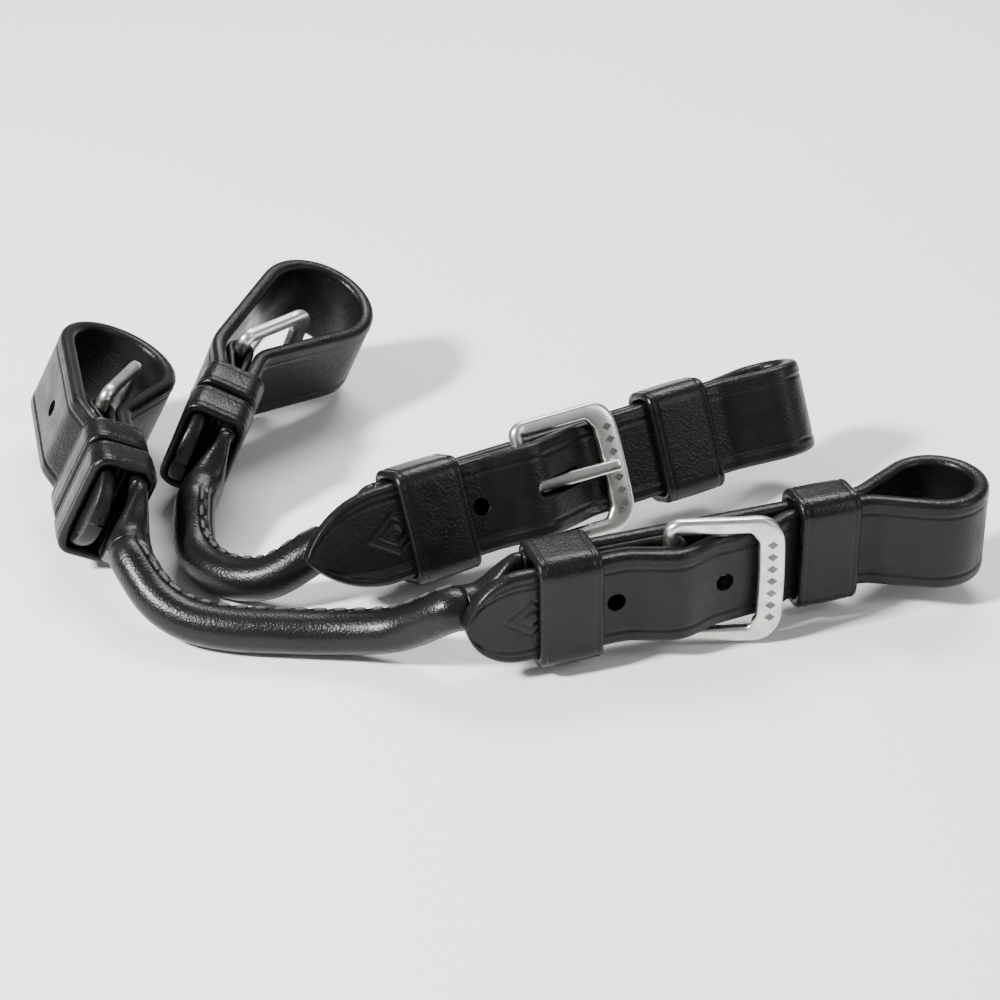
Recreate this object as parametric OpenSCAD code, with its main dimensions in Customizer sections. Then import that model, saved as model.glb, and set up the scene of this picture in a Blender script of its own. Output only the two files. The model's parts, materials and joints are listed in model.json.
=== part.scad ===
// Pair of rolled leather rein converters (Pelham roundings), each a short rein with a round
// sewn middle and a flat buckled loop at both ends for the rings of a bit.
// Millimetres, +X to the right, +Y to the back, +Z up. The origin is under the middle of the
// pair, on the surface that it lies on.

/* [Leather] */
// Width of the flat strap
strap_w = 16; // [14:0.5:16.5]
// Thickness of the flat strap
strap_t = 2.6; // [2.2:0.1:2.8]
// Diameter of the rolled middle
roll_d = 7; // [6.5:0.1:7.5]
// Thickness of the leather wrapped round the filler cord
roll_wall = 1.1; // [0.8:0.1:1.4]
// Thickness of the keepers' leather
keeper_t = 1.5; // [1.2:0.1:1.6]

/* [Buckle] */
// Radius of the hinge bar that the buckle turns on
bar_r = 1.25; // [1.1:0.05:1.3]
// Distance from the hinge bar to the middle of the outer bar
buckle_len = 15.5; // [15:0.1:16]
// Clear width between the side bars
buckle_in = 17; // [17:0.1:18]
// Width of each side bar
side_bar = 2.8; // [2.4:0.1:3]
// Width of the flat outer bar
outer_bar = 4.2; // [3.8:0.1:4.4]
// Thickness of the frame
frame_t = 2; // [1.6:0.1:2]
// Width of the prong
prong_w = 2.4; // [2:0.1:2.6]
// Thickness of the prong
prong_t = 1.6; // [1.4:0.1:1.6]

/* [Stitching] */
// Diameter of the waxed thread
thread_d = 0.7; // [0.5:0.1:0.8]
// Distance from one stitch to the next
stitch_step = 3.2; // [3:0.1:4]

/* [Hidden] */
$fn = 48;

leather = [0.05, 0.048, 0.05];
leather_edge = [0.09, 0.085, 0.085];
thread = [0.03, 0.03, 0.035];
steel = [0.75, 0.74, 0.71];
filler = [0.62, 0.55, 0.42];

// Each end is drawn in its own frame: the hinge bar of its buckle is the Z axis, +X runs along
// the strap away from the roll, and +Y is the outer face, where the buckle sits.
fit = 0.05;                                  // play of the hinge bar in its bores
ply = 1.3;                                   // one ply of the chape
lay = 0.05;                                  // gap between leather faces that lie together
chape_r = bar_r + fit + ply;                 // outside of the fold round the hinge bar
chape_top = 0;                               // outer face of the sewn part of the chape
chape_len = 20;
chape_pinch = 7;                             // from the hinge bar to where the plies meet
base_y = -chape_r - strap_t / 2;             // middle of the base strap
return_y = base_y + strap_t + lay;           // middle of the strap that lies on the base
tail_y = chape_top + lay + strap_t / 2;      // middle of the tail on the chape
hump_y = chape_r + 0.1 + strap_t / 2;        // middle of the strap over the hinge bar
runner_gap = 0.25;                           // play of a sliding keeper
bore_depth = 0.05;                           // how deep the ring bore cuts the bend
hole_r = 1.6;
hole_step = 17.9;                            // from one billet hole to the next
neck_len = 8;                                // from the flat strap to the round roll
prong_len = 16.4;
slot_from = -0.3;                            // slot that a fastened prong lifts through
slot_to = 9.6;

SHIFT = [3.06, 3.02, -0.07];                 // brings the origin under the middle of the pair

// What differs from end to end, in the order front right, front left, rear right, rear left.
// x positions are along the strap from the hinge bar, and angles are in degrees.
FR = 0;
FL = 1;
RR = 2;
RL = 3;
// Middle of the hinge bar
hinge = [[26.4, -45.5, 11.6], [-71.2, -3, 13.6], [4.6, -18.1, 12.6], [-48.8, 18.8, 14.5]];
// Lean about the strap, pitch and yaw
turn = [[0, 1, 18.5], [27, 4, 105], [-24, 3, 27.7], [24, 8, 80]];
// Whether the buckle faces the front
flipped = [true, false, true, false];
flat = [23, 23, 25, 23];                     // flat strap from the hinge bar to the neck
tail = [34, 27, 41, 27];                     // from the hinge bar to the end of the tail
tip = [9, 8, 14, 8];                         // length of the tail's point
mid_y = (base_y + return_y) / 2;
loop_c = [[46.8, mid_y], [20.5, -6], [49.4, mid_y], [23, -9]];   // middle of the ring loop
loop_r = [6.1, 8.5, 4, 8.5];                 // inner radius of the ring loop
part_at = [34.5, 1, 40, 1];                  // where the two straps part
frame_at = [16, -28, 5, -30];                // angle at which the frame rests
prong_at = [-5, -4, 13, -8];                 // angle at which the prong rests
keeper = [-22.7, -14.3, -23.6, -14.3];       // near end of the fixed keeper
runner = [21.6, -22.2, 24.6, -22.2];         // near end of the sliding keeper
keeper_w = [10.4, 6.6, 11.4, 6.6];           // width of both keepers
fastened = [false, false, true, false];      // whether the prong is through the billet

function over_buckle(e) =
    e == FR ? [[6, 1.9], [16.8, 0.75], [20.5, return_y]]
    : e == RR ? [[11, return_y]]
    : [];
function return_start(e) = e == FR || e == RR ? [part_at[e], return_y] : [1, hump_y];
function base_start(e) = [part_at[e] - 0.5, base_y];

// Rotations and places
function rx(a, p) = [p.x, p.y * cos(a) - p.z * sin(a), p.y * sin(a) + p.z * cos(a)];
function ry(a, p) = [p.x * cos(a) + p.z * sin(a), p.y, p.z * cos(a) - p.x * sin(a)];
function rz(a, p) = [p.x * cos(a) - p.y * sin(a), p.x * sin(a) + p.y * cos(a), p.z];
function roll_angle(e) = turn[e][0] + (flipped[e] ? 180 : 0);
function place(e, p) =
    SHIFT + hinge[e] + rz(turn[e][2], ry(-turn[e][1], rx(roll_angle(e), p)));
module at(e) {
    translate(SHIFT + hinge[e])
        rotate([0, 0, turn[e][2]]) rotate([0, -turn[e][1], 0]) rotate([roll_angle(e), 0, 0])
            children();
}

// Strap outlines, seen along the width of the strap
function unit(v) = v / norm(v);
function left_of(v) = [-v.y, v.x];
function mitre(p, i) =
    let (n = len(p) - 1,
         a = left_of(unit(p[max(i, 1)] - p[max(i, 1) - 1])),
         b = left_of(unit(p[min(i + 1, n)] - p[min(i + 1, n) - 1])),
         m = unit(a + b))
    m / (m * a);
module strip(p, t) {
    last = len(p) - 1;
    above = [for (i = [0 : last]) p[i] + mitre(p, i) * t / 2];
    below = [for (i = [last : -1 : 0]) p[i] - mitre(p, i) * t / 2];
    polygon(concat(above, below));
}
// Angle of the line from p that touches a circle, on the side given by s
function touch_angle(p, c, r, s) =
    atan2(c.y - p.y, c.x - p.x) + s * asin(r / norm(c - p));
// Middle line of the bend round the ring, from one touching point to the other
function bend(c, r, from, to) =
    let (n = ceil((from - to) / 10))
    [for (i = [0 : n]) let (a = from + (to - from) * i / n) c + r * [cos(a), sin(a)]];
module billet_outline(e) {
    rc = loop_r[e] - bore_depth + strap_t / 2;
    rs = return_start(e);
    bs = base_start(e);
    tail_line = [[-tail[e], tail_y], [-chape_pinch - 0.5, tail_y], [-1, hump_y], [1, hump_y]];
    side = e == FR || e == RR ? [rs] : [];
    ring_bend = bend(loop_c[e], rc,
        90 + touch_angle(rs, loop_c[e], rc, 1), -90 + touch_angle(bs, loop_c[e], rc, -1));
    strip(concat(tail_line, over_buckle(e), side, ring_bend, [bs, [-flat[e], base_y]]), strap_t);
}

// Outline of the tail's point, in the plane of the strap
module tip_outline(e) {
    arc = (tip[e] * tip[e] + pow(strap_w / 2, 2)) / strap_w;
    translate([-tail[e] + tip[e], 0]) {
        intersection() {
            translate([0, strap_w / 2 - arc]) circle(arc, $fn = 96);
            translate([0, arc - strap_w / 2]) circle(arc, $fn = 96);
        }
        translate([0, -strap_w]) square([tip[e], 2 * strap_w]);
    }
}
module tip_cutter(e) {
    translate([0, tail_y - strap_t, 0]) rotate([-90, 0, 0]) linear_extrude(2 * strap_t)
        difference() {
            translate([-tail[e] - 5, -strap_w]) square([5 + tip[e], 2 * strap_w]);
            tip_outline(e);
        }
}
module billet(e) {
    color(leather) at(e) difference() {
        linear_extrude(strap_w, center = true) billet_outline(e);
        translate([loop_c[e].x, loop_c[e].y, 0])
            cylinder(r = loop_r[e], h = strap_w + 2, center = true);
        tip_cutter(e);
        // Spare hole in the tail
        translate([slot_to - hole_r - hole_step, 0, 0]) rotate([-90, 0, 0])
            cylinder(r = hole_r, h = tail_y + strap_t);
        prong_hole(e);
    }
}
// A fastened prong passes through a slot, and the others leave a plain hole
module prong_hole(e) {
    from = fastened[e] ? slot_from : slot_to - 2 * hole_r;
    translate([0, chape_top - strap_t, 0]) rotate([-90, 0, 0]) {
        translate([from + hole_r, -hole_r, 0])
            cube([slot_to - from - 2 * hole_r + 0.01, 2 * hole_r, 4 * strap_t]);
        translate([from + hole_r, 0, 0]) cylinder(r = hole_r, h = 4 * strap_t);
        translate([slot_to - hole_r, 0, 0]) cylinder(r = hole_r, h = 4 * strap_t);
    }
}

// Doubled leather that holds the buckle on the base strap, notched for the prong
module chape(e) {
    notch = prong_w + 1.2;
    color(leather_edge) at(e) difference() {
        linear_extrude(strap_w - 1, center = true) difference() {
            union() {
                circle(chape_r);
                polygon([[0, -chape_r], [0, chape_r], [-chape_pinch, chape_top],
                         [-chape_len, chape_top], [-chape_len, -chape_r]]);
            }
            circle(bar_r + fit);
        }
        translate([-4, -10, -notch / 2]) cube([10, 20, notch]);
    }
}
// Two rows of stitches through the chape and the base strap, pulled in flush with its back
module chape_stitches(e) {
    first = -chape_len + 2;
    inset = 2.2;
    level = base_y - strap_t / 2 + thread_d / 2;
    color(thread) at(e) for (side = [-1, 1], i = [0 : 3])
        translate([first + i * stitch_step, level, side * (strap_w / 2 - inset)]) {
            rotate([-90, 0, 0]) cylinder(d = thread_d, h = chape_top - level - thread_d / 2);
            translate([-stitch_step * 0.36, 0, 0]) rotate([0, 90, 0])
                cylinder(d = thread_d, h = stitch_step * 0.72);
        }
}

module buckle_outline() {
    w = buckle_in / 2 + side_bar;
    x1 = buckle_len + outer_bar / 2;
    corner = 4;
    difference() {
        union() {
            translate([-bar_r, -w + 1]) square([x1 + bar_r - corner, 2 * w - 2]);
            translate([0, -w]) square([x1 - corner, 2 * w]);
            translate([x1 - corner - 1, -w + corner]) square([corner + 1, 2 * (w - corner)]);
            for (s = [-1, 1]) translate([x1 - corner, s * (w - corner)]) circle(corner - 0.01);
        }
        translate([-bar_r - 1, -buckle_in / 2])
            square([bar_r + 1 + buckle_len - outer_bar / 2, buckle_in]);
    }
}
module buckle_frame(e) {
    color(steel) at(e) rotate([0, 0, frame_at[e]]) {
        translate([0, frame_t / 2, 0]) rotate([90, 0, 0]) linear_extrude(frame_t) buckle_outline();
        cylinder(r = bar_r, h = buckle_in + 1, center = true);
    }
}
module buckle_prong(e) {
    eye = prong_t * 0.7;
    color(steel) at(e) rotate([0, 0, prong_at[e]]) difference() {
        union() {
            cylinder(r = bar_r + fit + eye, h = prong_w, center = true);
            translate([0, -prong_t / 2, -prong_w / 2]) cube([prong_len, prong_t, prong_w]);
        }
        cylinder(r = bar_r + fit, h = prong_w + 1, center = true);
    }
}

// Leather band round the straps between the faces y0 and y1
module keeper_band(x0, w, y0, y1, gap) {
    bevel = keeper_t * 0.6;
    z1 = strap_w / 2 + gap;
    out = keeper_t;
    outline = [
        [y0 - out + bevel, -z1 - out], [y1 + out - bevel, -z1 - out], [y1 + out, -z1 - out + bevel],
        [y1 + out, z1 + out - bevel], [y1 + out - bevel, z1 + out], [y0 - out + bevel, z1 + out],
        [y0 - out, z1 + out - bevel], [y0 - out, -z1 - out + bevel]];
    translate([x0 + w, 0, 0]) rotate([90, 0, -90]) linear_extrude(w) difference() {
        polygon([for (p = outline) [-p.x, p.y]]);
        translate([-y1, -z1]) square([y1 - y0, 2 * z1]);
    }
}
module fixed_keeper(e) {
    color(leather) at(e) keeper_band(keeper[e], keeper_w[e],
        base_y - strap_t / 2 - lay, tail_y + strap_t / 2 + lay, lay);
}
module runner_keeper(e) {
    on_tail = runner[e] < 0;
    top = (on_tail ? tail_y : return_y) + strap_t / 2 + runner_gap;
    color(leather) at(e) keeper_band(runner[e], keeper_w[e],
        base_y - strap_t / 2 - runner_gap, top, runner_gap);
}

// Middle line of each roll, from its right neck to its left neck. The points between the necks
// are where the roll lies.
front_way = [[-16, -50.5, 6], [-25, -48.6, 4.2], [-34, -47.6, 3.7], [-42.5, -46.6, 3.6],
             [-49.5, -44.6, 4.2], [-54.6, -41.2, 6]];
rear_way = [[-36.5, -33.8, 5.4], [-42, -32.6, 4], [-46.8, -29.3, 3.7], [-49.8, -25, 4.2],
            [-51, -21, 5.6]];
function lead(e, d) = place(e, [-flat[e] - neck_len - d, base_y, 0]);
function way(right, left, middle) = concat(
    [for (d = [0.02, 2, 4]) lead(right, d)], [for (p = middle) p + SHIFT],
    [for (d = [4, 2, 0.02]) lead(left, d)]);
front_line = way(FR, FL, front_way);
rear_line = way(RR, RL, rear_way);

// Smooth curve through the points, with `steps` rings from one point to the next
steps = 4;
function point(p, i) =
    i < 0 ? 2 * p[0] - p[1] : i >= len(p) ? 2 * p[len(p) - 1] - p[len(p) - 2] : p[i];
function between(p, i, u) =
    let (a = point(p, i - 1), b = point(p, i), c = point(p, i + 1), d = point(p, i + 2))
    0.5 * (2 * b + (c - a) * u + (2 * a - 5 * b + 4 * c - d) * u * u
        + (3 * b - a - 3 * c + d) * u * u * u);
function smooth(p) = concat(
    [for (i = [0 : len(p) - 2], k = [0 : steps - 1]) between(p, i, k / steps)], [p[len(p) - 1]]);
function heading(q, i) = unit(q[min(i + 1, len(q) - 1)] - q[max(i - 1, 0)]);
// Direction at angle a round the line: 0 is level, 90 is up
function around(q, i, a) =
    let (h = heading(q, i), side = unit(cross(h, [0, 0, 1])), up = cross(side, h))
    side * cos(a) + up * sin(a);
function ring(q, i, r, n) = [for (k = [0 : n - 1]) q[i] + r * around(q, i, 360 * k / n)];
// Solid bar or tube along the line: the ring radii run from the outer skin to the inner one
function skin(first, last, n, out) = [for (i = [0 : last - 1], k = [0 : n - 1])
    let (m = (k + 1) % n, a = first + i * n + k, b = first + i * n + m,
         c = first + (i + 1) * n + m, d = first + (i + 1) * n + k)
    each out ? [[a, b, c], [a, c, d]] : [[a, c, b], [a, d, c]]];
function end_ring(outer, inner, n, front) = [for (k = [0 : n - 1]) let (m = (k + 1) % n)
    each front ? [[outer + k, inner + m, outer + m], [outer + k, inner + k, inner + m]]
        : [[outer + k, outer + m, inner + m], [outer + k, inner + m, inner + k]]];
module bar_sweep(q, r, n) {
    last = len(q) - 1;
    points = [for (i = [0 : last]) each ring(q, i, r, n)];
    polyhedron(points, concat(skin(0, last, n, true),
        [[for (k = [n - 1 : -1 : 0]) k]], [[for (k = [0 : n - 1]) last * n + k]]));
}
module tube_sweep(q, r, wall, n) {
    last = len(q) - 1;
    points = [for (s = [r, r - wall], i = [0 : last]) each ring(q, i, s, n)];
    inner = (last + 1) * n;
    polyhedron(points, concat(skin(0, last, n, true), skin(inner, last, n, false),
        end_ring(0, inner, n, true), end_ring(last * n, inner + last * n, n, false)));
}
module roll_cover(line) {
    color(leather) tube_sweep(smooth(line), roll_d / 2, roll_wall, 16);
}
module roll_core(line) {
    color(filler) bar_sweep(smooth(line), roll_d / 2 - roll_wall - 0.1, 10);
}
// Where the flat strap is drawn in to become the round roll
module neck(e) {
    color(leather) at(e) intersection() {
        hull() {
            translate([-flat[e] - 0.2, base_y, 0])
                cube([0.4, strap_t, strap_w - 0.4], center = true);
            translate([-flat[e] - neck_len + 0.2, base_y, 0]) rotate([0, 90, 0])
                cylinder(d = roll_d, h = 0.3, center = true, $fn = 24);
        }
        translate([-flat[e] - neck_len, base_y - strap_w / 2, -strap_w])
            cube([neck_len, strap_w, 2 * strap_w]);
    }
}
// Row of stitches along the upper inner side of the roll, between the leads at its two ends
seam_angle = 50;
module roll_seam_thread(line) {
    q = smooth(line);
    leads = 2 * steps;
    color(thread) for (i = [leads : len(q) - leads - 2])
        let (a = q[i] + roll_d / 2 * around(q, i, seam_angle),
             b = q[i + 1] + roll_d / 2 * around(q, i + 1, seam_angle),
             d = b - a)
        translate(a + d * 0.15) rotate([0, acos(d.z / norm(d)), atan2(d.y, d.x)])
            cylinder(d = thread_d, h = norm(d) * 0.7);
}

roll_cover(front_line);  // front_roll_cover
roll_core(front_line);  // front_roll_core
roll_seam_thread(front_line);  // front_roll_seam_thread
roll_cover(rear_line);  // rear_roll_cover
roll_core(rear_line);  // rear_roll_core
roll_seam_thread(rear_line);  // rear_roll_seam_thread

neck(FR);  // front_right_neck
billet(FR);  // front_right_billet
chape(FR);  // front_right_chape
chape_stitches(FR);  // front_right_chape_stitches
buckle_frame(FR);  // front_right_buckle_frame
buckle_prong(FR);  // front_right_buckle_prong
fixed_keeper(FR);  // front_right_fixed_keeper
runner_keeper(FR);  // front_right_runner_keeper

neck(FL);  // front_left_neck
billet(FL);  // front_left_billet
chape(FL);  // front_left_chape
chape_stitches(FL);  // front_left_chape_stitches
buckle_frame(FL);  // front_left_buckle_frame
buckle_prong(FL);  // front_left_buckle_prong
fixed_keeper(FL);  // front_left_fixed_keeper
runner_keeper(FL);  // front_left_runner_keeper

neck(RR);  // rear_right_neck
billet(RR);  // rear_right_billet
chape(RR);  // rear_right_chape
chape_stitches(RR);  // rear_right_chape_stitches
buckle_frame(RR);  // rear_right_buckle_frame
buckle_prong(RR);  // rear_right_buckle_prong
fixed_keeper(RR);  // rear_right_fixed_keeper
runner_keeper(RR);  // rear_right_runner_keeper

neck(RL);  // rear_left_neck
billet(RL);  // rear_left_billet
chape(RL);  // rear_left_chape
chape_stitches(RL);  // rear_left_chape_stitches
buckle_frame(RL);  // rear_left_buckle_frame
buckle_prong(RL);  // rear_left_buckle_prong
fixed_keeper(RL);  // rear_left_fixed_keeper
runner_keeper(RL);  // rear_left_runner_keeper
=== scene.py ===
"""Looks of a pair of rolled leather rein converters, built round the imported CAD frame.

Each of the four ends has its own frame, read from its joints: the origin is on the buckle's
hinge bar, X runs along the strap away from the roll, Y is the outer face and Z is across the
strap. Lengths in these frames are in millimetres.
"""
import json
import math

import bmesh
import bpy
import numpy as np
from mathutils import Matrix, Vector


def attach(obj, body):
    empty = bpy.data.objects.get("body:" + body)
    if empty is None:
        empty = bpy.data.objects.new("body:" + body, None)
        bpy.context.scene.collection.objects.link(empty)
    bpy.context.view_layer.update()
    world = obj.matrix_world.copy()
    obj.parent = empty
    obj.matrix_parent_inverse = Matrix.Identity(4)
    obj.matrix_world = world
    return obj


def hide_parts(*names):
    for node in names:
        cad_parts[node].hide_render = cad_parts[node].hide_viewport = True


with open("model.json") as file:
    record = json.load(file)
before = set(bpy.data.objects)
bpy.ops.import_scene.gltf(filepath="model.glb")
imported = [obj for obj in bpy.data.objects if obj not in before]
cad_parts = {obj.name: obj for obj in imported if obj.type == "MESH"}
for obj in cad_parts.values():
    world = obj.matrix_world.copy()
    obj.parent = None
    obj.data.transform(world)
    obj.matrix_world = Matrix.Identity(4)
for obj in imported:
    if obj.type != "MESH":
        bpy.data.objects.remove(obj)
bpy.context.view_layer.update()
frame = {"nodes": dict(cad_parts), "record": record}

MM = 0.001
UP = np.array([0.0, 0.0, 1.0])
JOINTS = {j["name"]: j for j in frame["record"]["behaviour"]["joints"]}
ENDS = ["front_right", "front_left", "rear_right", "rear_left"]

# Leather
STRAP_W = 16.0
STRAP_T = 2.6
LAY = 0.05
PLY = 1.3
BAR_R = 1.25
CHAPE_R = BAR_R + 0.05 + PLY
CHAPE_LEN = 20.0
BASE_Y = -CHAPE_R - STRAP_T / 2
RETURN_Y = BASE_Y + STRAP_T + LAY
TAIL_Y = LAY + STRAP_T / 2
HUMP_Y = CHAPE_R + 0.1 + STRAP_T / 2
BORE_DEPTH = 0.05
KEEPER_T = 1.5
ROLL_R = 3.5
NECK_LEN = 8.0
HOLE_R = 1.5
HOLE_X = 8.0
HOLE_STEP = 17.9
SLOT_FROM = -0.3
SLOT_TO = 9.6
SLOT_R = 1.6

# Buckle, from its hinge bar
BUCKLE_LEN = 15.5
SIDE_Z = 9.9
FRAME_HALF_T = 1.0
PRONG_LEN = 16.4
PRONG_HALF_W = 1.2
PRONG_HALF_T = 0.8

# What differs from end to end
FLAT = {"front_right": 23, "front_left": 23, "rear_right": 25, "rear_left": 23}
TAIL = {"front_right": 34, "front_left": 27, "rear_right": 41, "rear_left": 27}
TIP = {"front_right": 9, "front_left": 8, "rear_right": 14, "rear_left": 8}
PART_AT = {"front_right": 34.5, "front_left": 1, "rear_right": 40, "rear_left": 1}
LOOP_C = {"front_right": (46.8, (BASE_Y + RETURN_Y) / 2), "front_left": (20.5, -6),
          "rear_right": (49.4, (BASE_Y + RETURN_Y) / 2), "rear_left": (23, -9)}
LOOP_R = {"front_right": 6.1, "front_left": 8.5, "rear_right": 4, "rear_left": 8.5}
FRAME_AT = {"front_right": 16, "front_left": -28, "rear_right": 5, "rear_left": -30}
PRONG_AT = {"front_right": -5, "front_left": -4, "rear_right": 13, "rear_left": -8}
FASTENED = {"rear_right"}
OVER_BUCKLE = {
    "front_right": [(6, 1.9), (16.8, 0.75), (20.5, RETURN_Y)],
    "rear_right": [(11, RETURN_Y)],
}

# Middle lines of the rolls between their necks, in metres, in the frame's own axes
SHIFT = np.array([3.06, 3.02, -0.07])
FRONT_WAY = [(-16, -50.5, 6), (-25, -48.6, 4.2), (-34, -47.6, 3.7), (-42.5, -46.6, 3.6),
             (-49.5, -44.6, 4.2), (-54.6, -41.2, 6)]
REAR_WAY = [(-36.5, -33.8, 5.4), (-42, -32.6, 4), (-46.8, -29.3, 3.7), (-49.8, -25, 4.2),
            (-51, -21, 5.6)]


# ---------------------------------------------------------------- frames and curves

def unit(v):
    v = np.asarray(v, float)
    return v / np.linalg.norm(v)


class End:
    """One buckled end: its axes, its loop and the body that its straps belong to."""

    def __init__(self, name):
        self.name = name
        self.rounding = name.split("_")[0] + "_rounding"
        self.origin = np.array(JOINTS[name + "_buckle_swing"]["pos_m"])
        self.z = unit(JOINTS[name + "_buckle_swing"]["axis"])
        self.x = unit(JOINTS[name + "_runner_slide"]["axis"])
        self.y = np.cross(self.z, self.x)
        self.loop_c = np.array(LOOP_C[name])
        self.loop_r = LOOP_R[name]

    def world(self, p):
        """Points in the end's frame, in mm, to the row frame, in metres."""
        p = np.atleast_2d(np.asarray(p, float))
        return self.origin + MM * (p @ np.array([self.x, self.y, self.z]))

    def turned(self, p, degrees):
        """Points turned about the hinge bar first, as the buckle is."""
        p = np.atleast_2d(np.asarray(p, float))
        c, s = math.cos(math.radians(degrees)), math.sin(math.radians(degrees))
        x = p[:, 0] * c - p[:, 1] * s
        y = p[:, 0] * s + p[:, 1] * c
        return self.world(np.column_stack([x, y, p[:, 2]]))


def resample(points, step):
    points = np.asarray(points, float)
    lengths = np.r_[0, np.cumsum(np.linalg.norm(np.diff(points, axis=0), axis=1))]
    count = max(int(round(lengths[-1] / step)), 2)
    at = np.linspace(0, lengths[-1], count + 1)
    return np.column_stack([np.interp(at, lengths, points[:, k]) for k in range(points.shape[1])])


def soften(points, sigma, step):
    """Rounds the corners of an evenly stepped line, and keeps its two ends."""
    reach = int(3 * sigma / step)
    weights = np.exp(-0.5 * (np.arange(-reach, reach + 1) * step / sigma) ** 2)
    weights /= weights.sum()
    before = 2 * points[0] - points[1:reach + 1][::-1]
    after = 2 * points[-1] - points[-reach - 1:-1][::-1]
    padded = np.vstack([before, points, after])
    return np.column_stack([np.convolve(padded[:, k], weights, "valid")
                            for k in range(points.shape[1])])


def catmull(points, steps):
    p = np.asarray(points, float)
    p = np.vstack([2 * p[0] - p[1], p, 2 * p[-1] - p[-2]])
    out = []
    for i in range(1, len(p) - 2):
        a, b, c, d = p[i - 1:i + 3]
        for u in np.arange(steps) / steps:
            out.append(0.5 * (2 * b + (c - a) * u + (2 * a - 5 * b + 4 * c - d) * u ** 2
                              + (3 * b - a - 3 * c + d) * u ** 3))
    out.append(p[-2])
    return np.array(out)


def tangents(points, closed=False):
    if closed:
        d = np.roll(points, -1, axis=0) - np.roll(points, 1, axis=0)
    else:
        d = np.gradient(points, axis=0)
    return d / np.linalg.norm(d, axis=1)[:, None]


def touch_angle(p, c, r, side):
    d = np.asarray(c) - np.asarray(p)
    return math.atan2(d[1], d[0]) + side * math.asin(r / np.linalg.norm(d))


def billet_line(end):
    """Middle line of the strap from its tail tip, round the ring loop, to the neck."""
    name = end.name
    rc = end.loop_r - BORE_DEPTH + STRAP_T / 2
    start = (1.0, HUMP_Y)
    side = []
    if name in OVER_BUCKLE:
        start = (PART_AT[name], RETURN_Y)
        side = [start]
    base = (PART_AT[name] - 0.5, BASE_Y)
    first = math.pi / 2 + touch_angle(start, end.loop_c, rc, 1)
    last = -math.pi / 2 + touch_angle(base, end.loop_c, rc, -1)
    bend = [end.loop_c + rc * np.array([math.cos(a), math.sin(a)])
            for a in np.linspace(first, last, 40)]
    tail = [(-TAIL[name], TAIL_Y), (-7.5, TAIL_Y), (-1, HUMP_Y), (1, HUMP_Y)]
    return np.array(tail + OVER_BUCKLE.get(name, []) + side + bend
                    + [base, (-FLAT[name], BASE_Y)])


# ---------------------------------------------------------------- meshes

def make_object(name, verts, faces, material, smooth=True):
    mesh = bpy.data.meshes.new(name)
    mesh.from_pydata([tuple(v) for v in verts], [], faces)
    mesh.update()
    obj = bpy.data.objects.new(name, mesh)
    bpy.context.scene.collection.objects.link(obj)
    mesh.materials.append(material)
    mesh.polygons.foreach_set("use_smooth", [smooth] * len(mesh.polygons))
    return obj


def loft(rings, closed=False):
    """Vertices and faces of a skin through rings of equal count, capped unless it closes."""
    n = len(rings[0])
    verts = np.vstack(rings)
    faces = []
    turns = len(rings) if closed else len(rings) - 1
    for i in range(turns):
        a = i * n
        b = ((i + 1) % len(rings)) * n
        for k in range(n):
            m = (k + 1) % n
            faces.append((a + k, a + m, b + m, b + k))
    if not closed:
        faces.append(tuple(range(n - 1, -1, -1)))
        faces.append(tuple(range((len(rings) - 1) * n, len(rings) * n)))
    return verts, faces


def joined(parts):
    verts = []
    faces = []
    base = 0
    for v, f in parts:
        verts.append(v)
        faces += [tuple(i + base for i in face) for face in f]
        base += len(v)
    return np.vstack(verts), faces


def fix_normals(obj):
    bm = bmesh.new()
    bm.from_mesh(obj.data)
    bmesh.ops.recalc_face_normals(bm, faces=bm.faces)
    bm.to_mesh(obj.data)
    bm.free()


EDGE_R = 0.9
CREASE_AT = 2.5
ACROSS = np.r_[0, 0.06, 0.2, 0.45, 0.9, np.arange(1.25, 8.01, 0.25)]


def face_height(d, half_t, creased):
    """Height of a strap's face above its middle, at distance d from the strap's edge."""
    edge = np.clip(1 - d / EDGE_R, 0, 1)
    h = half_t * np.sqrt(np.clip(1 - edge ** 2, 0, 1))
    if creased:
        h = h - 0.2 * np.exp(-((d - CREASE_AT) / 0.22) ** 2)
        h = h + 0.07 * np.exp(-((d - CREASE_AT + 0.6) / 0.3) ** 2)
    return h


def band(line, half_t, width_at, place, creased=True, relief=None):
    """A flat strap along a line in the XY plane, set down by place.

    relief(x, z, y) is added to the height of its outer face.
    """
    rings = []
    heading = tangents(line)
    for i, (p, h) in enumerate(zip(line, heading)):
        normal = np.array([-h[1], h[0]])
        b = width_at(i)
        narrowing = min(1.0, b / (STRAP_W / 2))
        d = ACROSS * narrowing
        d = d[d < b]
        d = np.interp(np.linspace(0, 1, len(ACROSS)), np.linspace(0, 1, len(d)), d)
        z = b - d
        top = face_height(d / narrowing, half_t, creased)
        low = -face_height(d / narrowing, half_t, False)
        zs = np.r_[-z, z[::-1], z[1:], -z[1:][::-1]]
        hs = np.r_[top, top[::-1], low[1:], low[1:][::-1]]
        if relief is not None:
            lift = relief(p[0], zs, p[1])
            hs = hs + np.where(np.arange(len(hs)) < 2 * len(z), lift, 0)
        pts = np.column_stack([p[0] + normal[0] * hs, p[1] + normal[1] * hs, zs])
        rings.append(place(pts))
    return loft(rings)


def cut(obj, cutter):
    """Takes the cutter's solid out of obj, and removes the cutter."""
    mod = obj.modifiers.new("cut", "BOOLEAN")
    mod.operation = "DIFFERENCE"
    mod.solver = "EXACT"
    mod.object = cutter
    graph = bpy.context.evaluated_depsgraph_get()
    mesh = bpy.data.meshes.new_from_object(obj.evaluated_get(graph))
    obj.modifiers.remove(mod)
    obj.data = mesh
    bpy.data.objects.remove(cutter, do_unlink=True)


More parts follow.
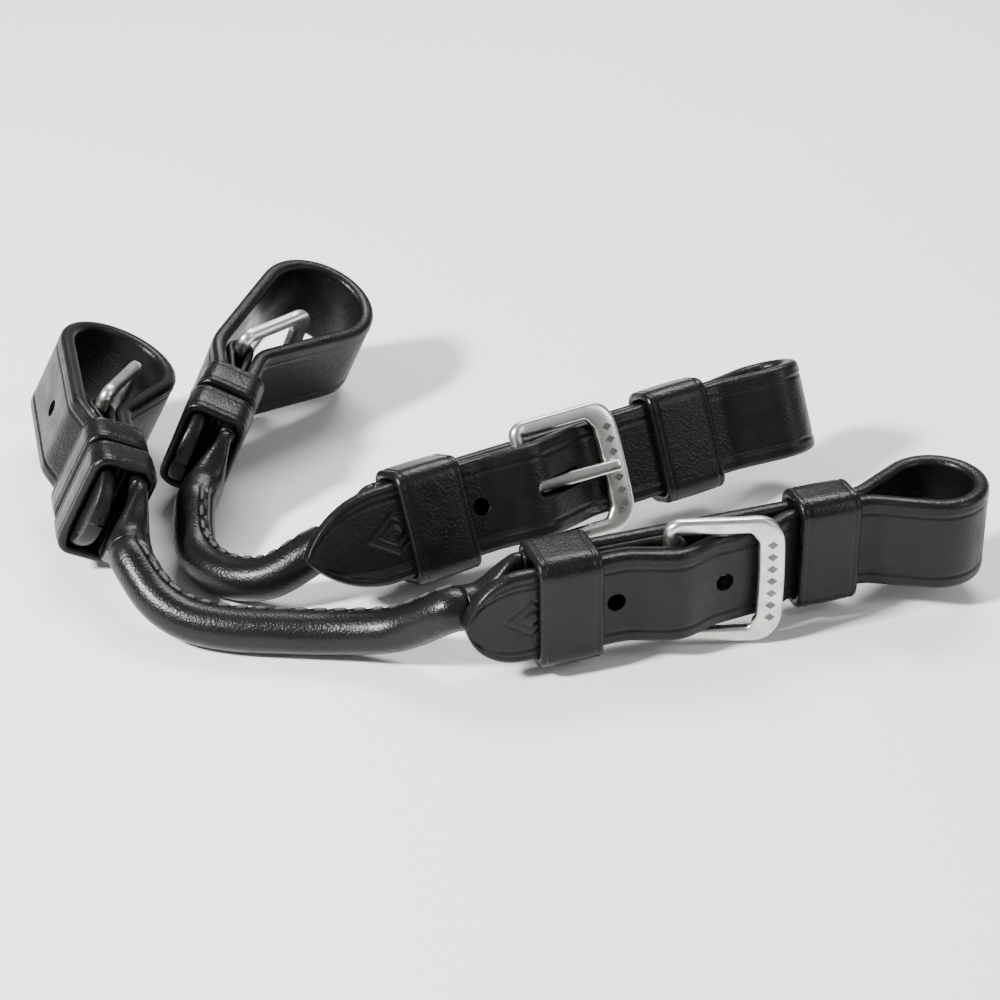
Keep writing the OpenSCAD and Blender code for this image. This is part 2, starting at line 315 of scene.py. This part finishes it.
def slot_cutter(end, x0, x1, half, y0, y1):
    """A slot with round ends through the thickness, from x0 to x1."""
    outline = []
    for a in np.linspace(-90, 90, 13):
        outline.append((x1 - half + half * math.cos(math.radians(a)),
                        half * math.sin(math.radians(a))))
    for a in np.linspace(90, 270, 13):
        outline.append((x0 + half + half * math.cos(math.radians(a)),
                        half * math.sin(math.radians(a))))
    rings = [end.world([(x, y, z) for x, z in outline]) for y in (y0, y1)]
    verts, faces = loft(rings)
    obj = make_object("cutter", verts, faces, STRAP, smooth=False)
    fix_normals(obj)
    return obj


def capsule(a, b, r, sides=8):
    """A stitch: a short round-ended thread from a to b."""
    a, b = np.asarray(a, float), np.asarray(b, float)
    h = unit(b - a)
    side = unit(np.cross(h, UP if abs(h[2]) < 0.9 else [1, 0, 0]))
    up = np.cross(side, h)
    rings = []
    length = np.linalg.norm(b - a)
    for u, k in ((0, 0.25), (0.08, 0.75), (0.25, 1), (0.75, 1), (0.92, 0.75), (1, 0.25)):
        c = a + h * length * u
        rings.append(np.array([c + r * k * (side * math.cos(t) + up * math.sin(t))
                               for t in np.arange(sides) * 2 * math.pi / sides]))
    return loft(rings)


def superellipse(a, b, n, count):
    t = np.arange(count) * 2 * math.pi / count
    c, s = np.cos(t), np.sin(t)
    return np.column_stack([a * np.sign(c) * np.abs(c) ** (2 / n),
                            b * np.sign(s) * np.abs(s) ** (2 / n)])


def finish_piece(obj, body, slot, *nodes):
    fix_normals(obj)
    if nodes:
        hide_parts(*nodes)
    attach(obj, body)


# ---------------------------------------------------------------- materials

def new_material(name):
    mat = bpy.data.materials.new(name)
    mat.use_nodes = True
    nodes = mat.node_tree.nodes
    return mat, nodes, mat.node_tree.links, nodes["Principled BSDF"]


def noise(nodes, links, scale, detail=4.0, coords=None):
    tex = nodes.new("ShaderNodeTexNoise")
    tex.inputs["Scale"].default_value = scale
    tex.inputs["Detail"].default_value = detail
    links.new(coords, tex.inputs["Vector"])
    return tex


def ramp(nodes, links, source, stops):
    node = nodes.new("ShaderNodeValToRGB")
    node.color_ramp.elements[0].position = stops[0][0]
    node.color_ramp.elements[0].color = stops[0][1]
    node.color_ramp.elements[1].position = stops[-1][0]
    node.color_ramp.elements[1].color = stops[-1][1]
    for place, colour in stops[1:-1]:
        node.color_ramp.elements.new(place).color = colour
    links.new(source, node.inputs["Fac"])
    return node


def grey(v):
    return (v, v, v, 1)


def leather(name, dark, light, rough_low, rough_high, grain=2600, coat=0.06):
    """Waxed black bridle leather: fine pebbled grain, faint creases, and a painted highlight that makes
    sharp edges lighter.
    """
    mat, nodes, links, shader = new_material(name)
    coords = nodes.new("ShaderNodeTexCoord").outputs["Object"]
    patches = noise(nodes, links, 70, 5, coords)
    colour = ramp(nodes, links, patches.outputs["Fac"], [(0.35, dark), (0.7, light)])
    # Painted highlight: sharp edges, found by pointiness, are mixed towards the lighter grey set below.
    edge_highlight_geometry = nodes.new("ShaderNodeNewGeometry")
    edge = ramp(nodes, links, edge_highlight_geometry.outputs["Pointiness"], [(0.54, grey(0)), (0.64, grey(0.3))])
    mix = nodes.new("ShaderNodeMixRGB")
    mix.inputs["Color2"].default_value = (0.03, 0.028, 0.027, 1)
    links.new(edge.outputs["Color"], mix.inputs["Fac"])
    links.new(colour.outputs["Color"], mix.inputs["Color1"])
    links.new(mix.outputs["Color"], shader.inputs["Base Color"])
    gloss = noise(nodes, links, 260, 3, coords)
    rough = ramp(nodes, links, gloss.outputs["Fac"],
                 [(0.3, grey(rough_low)), (0.75, grey(rough_high))])
    links.new(rough.outputs["Color"], shader.inputs["Roughness"])
    pebble = nodes.new("ShaderNodeTexVoronoi")
    pebble.feature = "SMOOTH_F1"
    pebble.inputs["Scale"].default_value = grain
    links.new(coords, pebble.inputs["Vector"])
    folds = noise(nodes, links, 420, 6, coords)
    fine = nodes.new("ShaderNodeBump")
    fine.inputs["Strength"].default_value = 0.5
    fine.inputs["Distance"].default_value = 0.00012
    links.new(pebble.outputs["Distance"], fine.inputs["Height"])
    broad = nodes.new("ShaderNodeBump")
    broad.inputs["Strength"].default_value = 0.4
    broad.inputs["Distance"].default_value = 0.0002
    links.new(folds.outputs["Fac"], broad.inputs["Height"])
    links.new(fine.outputs["Normal"], broad.inputs["Normal"])
    links.new(broad.outputs["Normal"], shader.inputs["Normal"])
    shader.inputs["Coat Weight"].default_value = coat
    shader.inputs["Coat Roughness"].default_value = 0.25
    shader.inputs["Specular IOR Level"].default_value = 0.2
    return mat


def metal(name, dark, light, rough_low, rough_high):
    """Satin nickel: brushed, slightly uneven, with fine scratches."""
    mat, nodes, links, shader = new_material(name)
    coords = nodes.new("ShaderNodeTexCoord").outputs["Object"]
    cloud = noise(nodes, links, 300, 5, coords)
    colour = ramp(nodes, links, cloud.outputs["Fac"], [(0.3, dark), (0.7, light)])
    links.new(colour.outputs["Color"], shader.inputs["Base Color"])
    rough = ramp(nodes, links, cloud.outputs["Fac"],
                 [(0.3, grey(rough_high)), (0.7, grey(rough_low))])
    links.new(rough.outputs["Color"], shader.inputs["Roughness"])
    scratch = noise(nodes, links, 5000, 2, coords)
    bump = nodes.new("ShaderNodeBump")
    bump.inputs["Strength"].default_value = 0.25
    bump.inputs["Distance"].default_value = 0.00005
    links.new(scratch.outputs["Fac"], bump.inputs["Height"])
    links.new(bump.outputs["Normal"], shader.inputs["Normal"])
    shader.inputs["Metallic"].default_value = 1.0
    return mat


def fibre(name, dark, light, scale):
    """Waxed thread or cord: fine twisted strands."""
    mat, nodes, links, shader = new_material(name)
    coords = nodes.new("ShaderNodeTexCoord").outputs["Object"]
    strands = nodes.new("ShaderNodeTexWave")
    strands.bands_direction = "DIAGONAL"
    strands.inputs["Scale"].default_value = scale
    strands.inputs["Distortion"].default_value = 1.5
    links.new(coords, strands.inputs["Vector"])
    colour = ramp(nodes, links, strands.outputs["Fac"], [(0.2, dark), (0.8, light)])
    links.new(colour.outputs["Color"], shader.inputs["Base Color"])
    bump = nodes.new("ShaderNodeBump")
    bump.inputs["Strength"].default_value = 0.5
    bump.inputs["Distance"].default_value = 0.0001
    links.new(strands.outputs["Fac"], bump.inputs["Height"])
    links.new(bump.outputs["Normal"], shader.inputs["Normal"])
    shader.inputs["Roughness"].default_value = 0.55
    return mat


STRAP = leather("strap_leather", (0.0025, 0.0025, 0.0026, 1), (0.006, 0.006, 0.006, 1), 0.3, 0.46)
ROLL = leather("roll_leather", (0.0028, 0.0028, 0.0028, 1), (0.007, 0.0068, 0.0066, 1), 0.26, 0.4,
               grain=3200, coat=0.1)
KEEPER = leather("keeper_leather", (0.0024, 0.0024, 0.0025, 1), (0.0055, 0.0055, 0.0055, 1), 0.26, 0.42)
CHAPE = leather("chape_leather", (0.002, 0.002, 0.002, 1), (0.005, 0.005, 0.005, 1), 0.4, 0.55)
STEEL = metal("satin_nickel", (0.5, 0.49, 0.46, 1), (0.72, 0.71, 0.67, 1), 0.24, 0.4)
OXIDE = metal("darkened_nickel", (0.1, 0.1, 0.095, 1), (0.2, 0.19, 0.18, 1), 0.4, 0.6)
THREAD = fibre("waxed_thread", (0.012, 0.012, 0.013, 1), (0.05, 0.048, 0.046, 1), 1500)
FILLER = fibre("filler_cord", (0.35, 0.29, 0.2, 1), (0.6, 0.52, 0.4, 1), 900)


# ---------------------------------------------------------------- leather pieces

STEP = 0.5


def tip_half_width(name, x):
    """Half the strap's width at distance x behind the tip, where it is drawn to a point."""
    length = TIP[name]
    half = STRAP_W / 2
    if x >= length:
        return half
    arc = (length ** 2 + half ** 2) / (2 * half)
    return max(half - arc + math.sqrt(max(arc ** 2 - (length - x) ** 2, 0)), 0.25)


def tip_relief(name):
    """Pressed ornament on the tail: an inner border and a plain double lozenge."""
    tip_x = -TAIL[name]
    centre = tip_x + TIP[name] + 1.5

    def relief(x, z, y):
        lift = np.zeros_like(z)
        if y < TAIL_Y - 0.4 or x > tip_x + TIP[name] + 9:
            return lift
        edge = tip_half_width(name, x - tip_x) - np.abs(z)
        lift -= 0.16 * np.exp(-((edge - 1.45) / 0.2) ** 2)
        reach = np.abs(x - centre) / 4.6 + np.abs(z) / 3.1
        lift -= 0.2 * np.exp(-((reach - 1) / 0.09) ** 2)
        lift -= 0.14 * np.exp(-((reach - 0.55) / 0.08) ** 2)
        lift += 0.12 * (reach < 0.35)
        return lift

    return relief


def make_billet(end):
    name = end.name
    line = soften(resample(billet_line(end), STEP), 1.1, STEP)
    fine = int((TIP[name] + 10) / STEP)
    line = np.vstack([resample(line[:fine + 1], STEP / 3)[:-1], line[fine:]])
    along = np.r_[0, np.cumsum(np.linalg.norm(np.diff(line, axis=0), axis=1))]

    def width_at(i):
        return tip_half_width(name, along[i])

    verts, faces = band(line, STRAP_T / 2, width_at, end.world, relief=tip_relief(name))
    obj = make_object(name + "_strap", verts, faces, STRAP)
    fix_normals(obj)
    spare = HOLE_X - HOLE_STEP
    cut(obj, slot_cutter(end, spare - HOLE_R, spare + HOLE_R, HOLE_R, -1.0, 5.5))
    if name in FASTENED:
        cut(obj, slot_cutter(end, SLOT_FROM, SLOT_TO, SLOT_R, -2.0, 8.0))
    else:
        cut(obj, slot_cutter(end, HOLE_X - HOLE_R, HOLE_X + HOLE_R, HOLE_R, -0.9, 8.0))
    finish_piece(obj, end.rounding, "strap_leather", name + "_billet")


def make_chape(end):
    ring = BAR_R + 0.05 + PLY / 2
    lower = -CHAPE_R + PLY / 2
    turn = np.linspace(-math.pi / 2, math.pi / 2, 16)
    fold = [(ring * math.cos(a), ring * math.sin(a)) for a in turn]
    line = np.array([(-CHAPE_LEN, lower)] + fold + [(-7, -PLY / 2), (-CHAPE_LEN, -PLY / 2)])
    line = soften(resample(line, 0.3), 0.3, 0.3)[::-1]
    verts, faces = band(line, PLY / 2 - 0.02, lambda i: STRAP_W / 2 - 0.5, end.world,
                        creased=False)
    obj = make_object(end.name + "_chape_fold", verts, faces, CHAPE)
    fix_normals(obj)
    cut(obj, box_cutter(end, (-4, -3.5, -1.8), (4, 3.5, 1.8)))
    finish_piece(obj, end.rounding, "chape_leather", end.name + "_chape")


def box_cutter(end, low, high):
    corners = [(x, y) for x, y in ((low[0], low[1]), (high[0], low[1]),
                                   (high[0], high[1]), (low[0], high[1]))]
    rings = [end.world([(x, y, z) for x, y in corners]) for z in (low[2], high[2])]
    verts, faces = loft(rings)
    obj = make_object("cutter", verts, faces, CHAPE, smooth=False)
    fix_normals(obj)
    return obj


def make_chape_stitches(end):
    back = BASE_Y - STRAP_T / 2
    parts = []
    for z in (-5.8, 5.8):
        for x in np.arange(-18.5, -8, 3.0):
            a, b = end.world([(x - 1.1, back - 0.05, z), (x + 1.1, back - 0.05, z + 0.25)])
            parts.append(capsule(a, b, 0.36 * MM))
    verts, faces = joined(parts)
    obj = make_object(end.name + "_chape_thread", verts, faces, THREAD)
    finish_piece(obj, end.rounding, "thread", end.name + "_chape_stitches")


def make_keeper(end, node, body):
    """A leather band round the straps, with pressed edge lines, fitted to its CAD node."""
    low, high = local_box(end, node)
    corner = 2.0
    half_t = KEEPER_T / 2
    y0, y1 = low[1] + half_t, high[1] - half_t
    z0, z1 = low[2] + half_t, high[2] - half_t
    line = []
    for cy, cz, start in ((y1 - corner, z1 - corner, 0), (y0 + corner, z1 - corner, 90),
                          (y0 + corner, z0 + corner, 180), (y1 - corner, z0 + corner, 270)):
        for a in np.radians(np.linspace(start, start + 90, 9)):
            line.append((cy + corner * math.cos(a), cz + corner * math.sin(a)))
    line.append(line[0])
    line = resample(line, 0.5)[:-1]
    heading = tangents(line, closed=True)
    middle = (low[0] + high[0]) / 2
    half_w = (high[0] - low[0]) / 2
    d = np.r_[0, 0.06, 0.2, 0.45, 0.8, 1.0, 1.2, 1.4, 1.7, 2.2, half_w]
    d = d[d <= half_w]
    edge = np.clip(1 - d / 0.7, 0, 1)
    height = half_t * np.sqrt(1 - edge ** 2)
    outer = height - 0.16 * np.exp(-((d - 1.2) / 0.16) ** 2) + 0.1 * np.clip(d / half_w, 0, 1)
    xs = np.r_[-(half_w - d), (half_w - d)[::-1][1:], (half_w - d)[1:], -(half_w - d)[1:][::-1][1:]]
    hs = np.r_[outer, outer[::-1][1:], -height[1:], -height[1:][::-1][1:]]
    rings = []
    for p, h in zip(line, heading):
        normal = np.array([h[1], -h[0]])
        pts = np.column_stack([middle + xs, p[0] + normal[0] * hs, p[1] + normal[1] * hs])
        rings.append(end.world(pts))
    verts, faces = loft(rings, closed=True)
    obj = make_object(node + "_band", verts, faces, KEEPER)
    finish_piece(obj, body, "keeper_leather", node)


def local_box(end, node):
    """Lowest and highest corner of a CAD node in the end's own frame, in mm."""
    mesh = frame["nodes"][node].data
    flat = np.empty(len(mesh.vertices) * 3)
    mesh.vertices.foreach_get("co", flat)
    world = flat.reshape(-1, 3)
    local = (world - end.origin) @ np.array([end.x, end.y, end.z]).T / MM
    return local.min(axis=0), local.max(axis=0)


# ---------------------------------------------------------------- buckle

def buckle_line():
    """Closed middle line of the frame in its own plane, as (along, across)."""
    out_r, in_r = 3.4, 1.0
    line = []
    for cx, cz, r, start in ((BUCKLE_LEN - out_r, SIDE_Z - out_r, out_r, 0),
                             (in_r, SIDE_Z - in_r, in_r, 90),
                             (in_r, -SIDE_Z + in_r, in_r, 180),
                             (BUCKLE_LEN - out_r, -SIDE_Z + out_r, out_r, 270)):
        for a in np.radians(np.linspace(start, start + 90, 12)):
            line.append((cx + r * math.cos(a), cz + r * math.sin(a)))
    line.append(line[0])
    return resample(line, 0.35)[:-1]


def smoothstep(x, low, high):
    u = np.clip((x - low) / (high - low), 0, 1)
    return u * u * (3 - 2 * u)


def make_frame(end):
    line = buckle_line()
    heading = tangents(line, closed=True)
    rings = []
    for (x, z), h in zip(line, heading):
        outer = smoothstep(x, BUCKLE_LEN - 3.6, BUCKLE_LEN - 0.6)
        hinge = 1 - smoothstep(x, 0.2, 1.6)
        half_w = 1.3 + 0.75 * outer - 0.1 * hinge
        half_t = FRAME_HALF_T + 0.2 * hinge
        power = 3.2 - 1.2 * hinge
        bow = 0.35 * outer * (1 - (z / SIDE_Z) ** 2)
        section = superellipse(half_w, half_t, power, 28)
        normal = np.array([h[1], -h[0]])
        pts = np.column_stack([x + bow + normal[0] * section[:, 0], section[:, 1],
                               z + normal[1] * section[:, 0]])
        rings.append(end.turned(pts, FRAME_AT[end.name]))
    verts, faces = loft(rings, closed=True)
    obj = make_object(end.name + "_buckle", verts, faces, STEEL)
    finish_piece(obj, end.name + "_buckle_frame", "steel", end.name + "_buckle_frame")


def make_pattern(end):
    """A row of small darkened lozenges pressed into the outer bar."""
    parts = []
    x = BUCKLE_LEN + 0.3
    for z in np.linspace(-6.6, 6.6, 7):
        bow = 0.35 * (1 - (z / SIDE_Z) ** 2) - 0.3
        base = [(x + bow + u, FRAME_HALF_T - 0.2, z + v)
                for u, v in ((0.95, 0), (0, 0.8), (-0.95, 0), (0, -0.8))]
        top = [(x + bow + u, FRAME_HALF_T + 0.07, z + v)
               for u, v in ((0.85, 0), (0, 0.7), (-0.85, 0), (0, -0.7))]
        parts.append(loft([end.turned(base, FRAME_AT[end.name]),
                           end.turned(top, FRAME_AT[end.name])]))
    verts, faces = joined(parts)
    obj = make_object(end.name + "_buckle_lozenges", verts, faces, OXIDE, smooth=False)
    finish_piece(obj, end.name + "_buckle_frame", "steel")


def make_prong(end):
    angle = PRONG_AT[end.name]
    ring_r = BAR_R + 0.06 + 0.5
    eye = []
    for a in np.linspace(0, 2 * math.pi, 33)[:-1]:
        section = superellipse(0.5, PRONG_HALF_W, 3.5, 20)
        r = ring_r + section[:, 0]
        eye.append(end.turned(np.column_stack([r * math.cos(a), r * math.sin(a), section[:, 1]]),
                              angle))
    shaft = []
    for x in np.r_[1.4, np.linspace(2.0, PRONG_LEN - 0.6, 26), PRONG_LEN - 0.2, PRONG_LEN]:
        tip = smoothstep(x, PRONG_LEN - 0.5, PRONG_LEN)
        taper = 1 - 0.18 * smoothstep(x, 3, PRONG_LEN)
        section = superellipse(PRONG_HALF_T * (1 - 0.3 * tip) * (0.75 + 0.25 * taper),
                               PRONG_HALF_W * taper * (1 - 0.12 * tip), 3.5, 20)
        shaft.append(end.turned(np.column_stack([np.full(20, x), section[:, 0], section[:, 1]]),
                                angle))
    verts, faces = joined([loft(eye, closed=True), loft(shaft)])
    obj = make_object(end.name + "_tongue", verts, faces, STEEL)
    finish_piece(obj, end.name + "_buckle_prong", "steel", end.name + "_buckle_prong")


# ---------------------------------------------------------------- rolls

ROLL_STEPS = 10
SEAM_ANGLE = math.radians(50)
STITCH_STEP = 3.2


def roll_line(right, left, way):
    def neck(end, extra):
        return end.world([(-FLAT[end.name] - extra, BASE_Y, 0)])[0] / MM

    leads = [0, NECK_LEN - 2, NECK_LEN, NECK_LEN + 2, NECK_LEN + 4]
    points = [neck(right, extra) for extra in leads]
    points += [np.array(p) + SHIFT for p in way]
    points += [neck(left, extra) for extra in reversed(leads)]
    return resample(catmull(points, ROLL_STEPS), 0.5)


def side_and_up(heading):
    side = unit(np.cross(heading, UP))
    return side, np.cross(side, heading)


def make_roll(prefix, right, left, way):
    """The rolled middle with its two drawn-in necks, and the row of stitches on its seam."""
    line = roll_line(right, left, way)
    heading = tangents(line)
    along = np.r_[0, np.cumsum(np.linalg.norm(np.diff(line, axis=0), axis=1))]
    total = along[-1]
    theta = np.arange(112) * 2 * math.pi / 112
    rings = []
    seam = []
    for p, h, s in zip(line, heading, along):
        side, up = side_and_up(h)
        end = right if s < total / 2 else left
        from_end = min(s, total - s)
        round_ = smoothstep(from_end, 0.5, NECK_LEN)
        lean = math.atan2(end.z @ up, end.z @ side)
        a = STRAP_T / 2 + (ROLL_R - STRAP_T / 2) * round_
        b = STRAP_W / 2 - 0.1 + (ROLL_R - STRAP_W / 2 + 0.1) * round_
        n = 5 - 3 * round_
        t = theta - lean
        radius = (np.abs(np.sin(t) / a) ** n + np.abs(np.cos(t) / b) ** n) ** (-1 / n)
        off = (theta - SEAM_ANGLE + math.pi) % (2 * math.pi) - math.pi
        ridge = smoothstep(from_end, NECK_LEN, NECK_LEN + 4)
        pinch = 0.75 + 0.25 * math.cos(2 * math.pi * s / STITCH_STEP)
        radius = radius + ridge * (0.42 * pinch * np.exp(-(off / 0.11) ** 2)
                                   - 0.16 * np.exp(-((np.abs(off) - 0.3) / 0.1) ** 2))
        rings.append(MM * (p + radius[:, None] * (np.cos(theta)[:, None] * side
                                                  + np.sin(theta)[:, None] * up)))
        seam.append(p + (ROLL_R + 0.12) * (math.cos(SEAM_ANGLE + 0.24) * side
                                           + math.sin(SEAM_ANGLE + 0.24) * up))
    verts, faces = loft(rings)
    cover = make_object(prefix + "_roll", verts, faces, ROLL)
    finish_piece(cover, prefix + "_rounding", "roll_leather", prefix + "_roll_cover",
                 right.name + "_neck", left.name + "_neck")
    seam = np.array(seam)
    parts = []
    for s in np.arange(NECK_LEN + 3, total - NECK_LEN - 3, STITCH_STEP):
        a, b = [np.array([np.interp(t, along, seam[:, k]) for k in range(3)])
                for t in (s, s + STITCH_STEP * 0.66)]
        parts.append(capsule(a * MM, b * MM, 0.34 * MM))
    verts, faces = joined(parts)
    thread = make_object(prefix + "_roll_stitches", verts, faces, THREAD)
    finish_piece(thread, prefix + "_rounding", "thread", prefix + "_roll_seam_thread")
    core = frame["nodes"][prefix + "_roll_core"]
    core.data.materials.clear()
    core.data.materials.append(FILLER)


# ---------------------------------------------------------------- build

ends = {name: End(name) for name in ENDS}
for end in ends.values():
    make_billet(end)
    make_chape(end)
    make_chape_stitches(end)
    make_keeper(end, end.name + "_fixed_keeper", end.rounding)
    make_keeper(end, end.name + "_runner_keeper", end.name + "_runner_keeper")
    make_frame(end)
    make_pattern(end)
    make_prong(end)
make_roll("front", ends["front_right"], ends["front_left"], FRONT_WAY)
make_roll("rear", ends["rear_right"], ends["rear_left"], REAR_WAY)


# ---------------------------------------------------------------- floor, light and camera

def make_floor():
    mat, nodes, links, shader = new_material("floor_paper")
    coords = nodes.new("ShaderNodeTexCoord").outputs["Object"]
    mottle = noise(nodes, links, 6, 2, coords)
    colour = ramp(nodes, links, mottle.outputs["Fac"],
                  [(0.3, (0.86, 0.865, 0.88, 1)), (0.7, (0.89, 0.893, 0.9, 1))])
    links.new(colour.outputs["Color"], shader.inputs["Base Color"])
    shader.inputs["Roughness"].default_value = 0.7
    half = 3.0
    z = -0.0002
    floor = make_object("floor", [(-half, -half, z), (half, -half, z), (half, half, z),
                                  (-half, half, z)], [(0, 1, 2, 3)], mat, smooth=False)


def area_light(name, place, aim, size, power, colour=(1, 1, 1)):
    data = bpy.data.lights.new(name, "AREA")
    data.shape = "RECTANGLE"
    data.size, data.size_y = size
    data.energy = power
    data.color = colour
    obj = bpy.data.objects.new(name, data)
    obj.location = place
    obj.rotation_euler = (Vector(aim) - Vector(place)).to_track_quat("-Z", "Y").to_euler()
    bpy.context.scene.collection.objects.link(obj)


def make_lights():
    area_light("key", (-0.5, -0.3, 0.5), (0, 0, 0), (0.1, 0.1), 17, (1, 0.98, 0.95))
    area_light("top", (0.1, 0.45, 0.7), (0, 0, 0), (0.5, 0.25), 8, (0.95, 0.97, 1))
    area_light("right", (0.6, -0.3, 0.4), (0, 0, 0), (0.2, 0.4), 1.5)
    world = bpy.data.worlds.new("studio")
    bpy.context.scene.world = world
    world.use_nodes = True
    world.node_tree.nodes["Background"].inputs["Color"].default_value = (0.93, 0.96, 1, 1)
    world.node_tree.nodes["Background"].inputs["Strength"].default_value = 0.36


CAMERA_ELEVATION = math.radians(30)
CAMERA_DISTANCE = 0.4
CAMERA_LENS = 82


def make_camera():
    target = Vector((0.003, 0.003, 0.0))
    data = bpy.data.cameras.new("camera")
    data.lens = CAMERA_LENS
    data.clip_start = 0.01
    obj = bpy.data.objects.new("camera", data)
    obj.location = target + CAMERA_DISTANCE * Vector(
        (0, -math.cos(CAMERA_ELEVATION), math.sin(CAMERA_ELEVATION)))
    obj.rotation_euler = (math.pi / 2 - CAMERA_ELEVATION, 0, 0)
    bpy.context.scene.collection.objects.link(obj)
    bpy.context.scene.camera = obj


make_floor()
make_lights()
make_camera()
